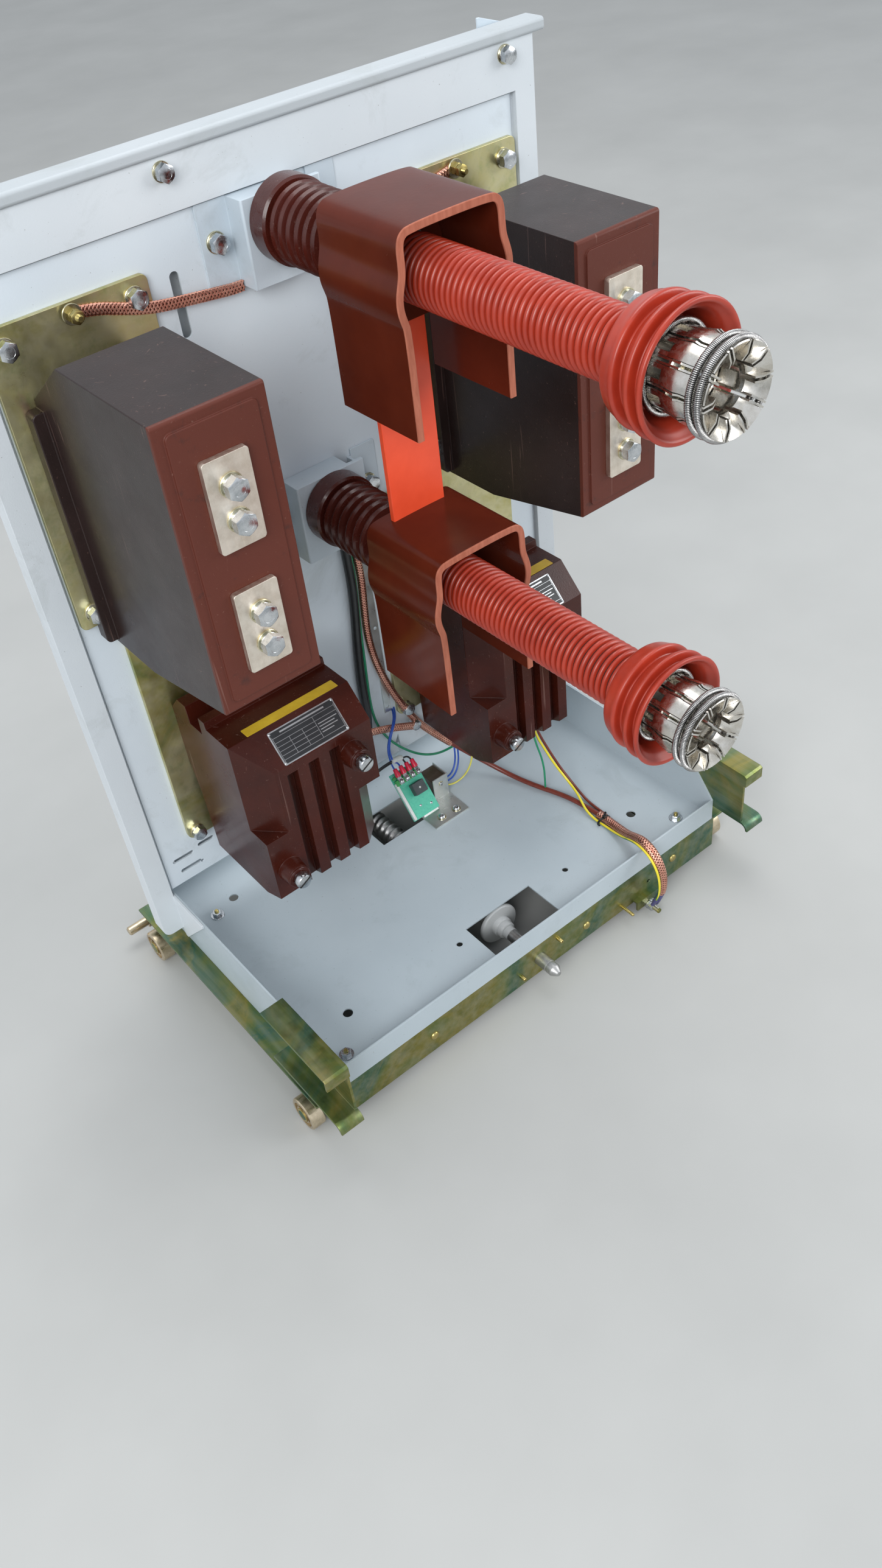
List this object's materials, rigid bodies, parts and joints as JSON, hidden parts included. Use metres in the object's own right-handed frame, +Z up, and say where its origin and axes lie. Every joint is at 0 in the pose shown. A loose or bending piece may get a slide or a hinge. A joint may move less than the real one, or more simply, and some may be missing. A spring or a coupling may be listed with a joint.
{
  "type": "withdrawable metering truck",
  "caption": "Wheeled switchgear truck with a white panel, cast-resin current and voltage transformers, red contact arms with tulip contacts, and a lead screw.",
  "frame": {"origin": "on the floor under the wheels, at the middle of the footprint", "axes": "+Z up, -Y from the panel towards the contact arms, +X across the truck"},
  "size_m": [0.636, 0.604, 0.862],
  "materials": {
    "steel_roller": "turned, bright",
    "steel_screw": "turned, oiled",
    "yellow_zinc": "yellow iridescent passivated zinc",
    "steel_pin": "bright",
    "tray_paint": "pale grey satin paint",
    "panel_paint": "white satin paint",
    "grey_paint": "grey satin paint",
    "bright_zinc": "clear passivated zinc",
    "tinned_pad": "tinned",
    "cast_resin": "glossy cast resin",
    "moulded_brown": "glossy moulded resin",
    "red_insulation": "satin red insulation",
    "silver_contact": "silver plated",
    "board_green": "green solder mask",
    "copper_braid": "bare braided copper",
    "brown_jacket": "brown sleeve",
    "green_jacket": "green insulation",
    "earth_jacket": "green and yellow insulation",
    "black_jacket": "black sleeve"
  },
  "bodies": {
    "truck": {"base_tray": "tray_paint", "board_bracket": "bright_zinc", "bonding_wire": "earth_jacket", "cap_gusset": "grey_paint", "circuit_board": "board_green", "earth_cable": "brown_jacket", "front_crossbar": "yellow_zinc", "guide_strip": "yellow_zinc", "left_ct_lower_terminal": "tinned_pad", "left_ct_plate": "bright_zinc", "left_ct_upper_terminal": "tinned_pad", "left_current_transformer": "cast_resin", "left_earth_braid": "copper_braid", "left_locking_pin": "steel_pin", "left_rail": "yellow_zinc", "left_shutter_bracket": "yellow_zinc", "left_voltage_transformer": "cast_resin", "left_vt_plate": "bright_zinc", "link_bar": "red_insulation", "loop_wire": "green_jacket", "lower_contact_stem": "silver_contact", "lower_earth_braid": "copper_braid", "lower_hood": "moulded_brown", "lower_insulator": "moulded_brown", "lower_seat": "panel_paint", "lower_sleeve": "red_insulation", "lower_tulip": "silver_contact", "mounting_panel": "panel_paint", "panel_cap": "panel_paint", "panel_frame": "panel_paint", "potted_block": "cast_resin", "rear_crossbar": "yellow_zinc", "right_ct_lower_terminal": "tinned_pad", "right_ct_plate": "bright_zinc", "right_ct_upper_terminal": "tinned_pad", "right_current_transformer": "cast_resin", "right_earth_braid": "copper_braid", "right_locking_pin": "steel_pin", "right_rail": "yellow_zinc", "right_shutter_bracket": "yellow_zinc", "right_voltage_transformer": "cast_resin", "right_vt_plate": "bright_zinc", "upper_contact_stem": "silver_contact", "upper_hood": "moulded_brown", "upper_insulator": "moulded_brown", "upper_seat": "panel_paint", "upper_sleeve": "red_insulation", "upper_tulip": "silver_contact", "wire_loom": "black_jacket"},
    "left_front_wheel_body": {"left_front_wheel": "steel_roller"},
    "left_rear_wheel_body": {"left_rear_wheel": "steel_roller"},
    "right_front_wheel_body": {"right_front_wheel": "steel_roller"},
    "right_rear_wheel_body": {"right_rear_wheel": "steel_roller"},
    "screw_body": {"lead_screw": "steel_screw"}
  },
  "joints": [
    {"name": "left_front_wheel_spin", "type": "hinge", "parent": "truck", "child": "left_front_wheel_body", "pos_m": [-0.297, -0.049, 0.019], "axis": [1, 0, 0], "continuous": true},
    {"name": "left_rear_wheel_spin", "type": "hinge", "parent": "truck", "child": "left_rear_wheel_body", "pos_m": [-0.297, 0.257, 0.019], "axis": [1, 0, 0], "continuous": true},
    {"name": "right_front_wheel_spin", "type": "hinge", "parent": "truck", "child": "right_front_wheel_body", "pos_m": [0.297, -0.049, 0.019], "axis": [1, 0, 0], "continuous": true},
    {"name": "right_rear_wheel_spin", "type": "hinge", "parent": "truck", "child": "right_rear_wheel_body", "pos_m": [0.297, 0.257, 0.019], "axis": [1, 0, 0], "continuous": true},
    {"name": "lead_screw_spin", "type": "hinge", "parent": "truck", "child": "screw_body", "pos_m": [0, 0, 0.036], "axis": [0, 1, 0], "continuous": true}
  ]
}
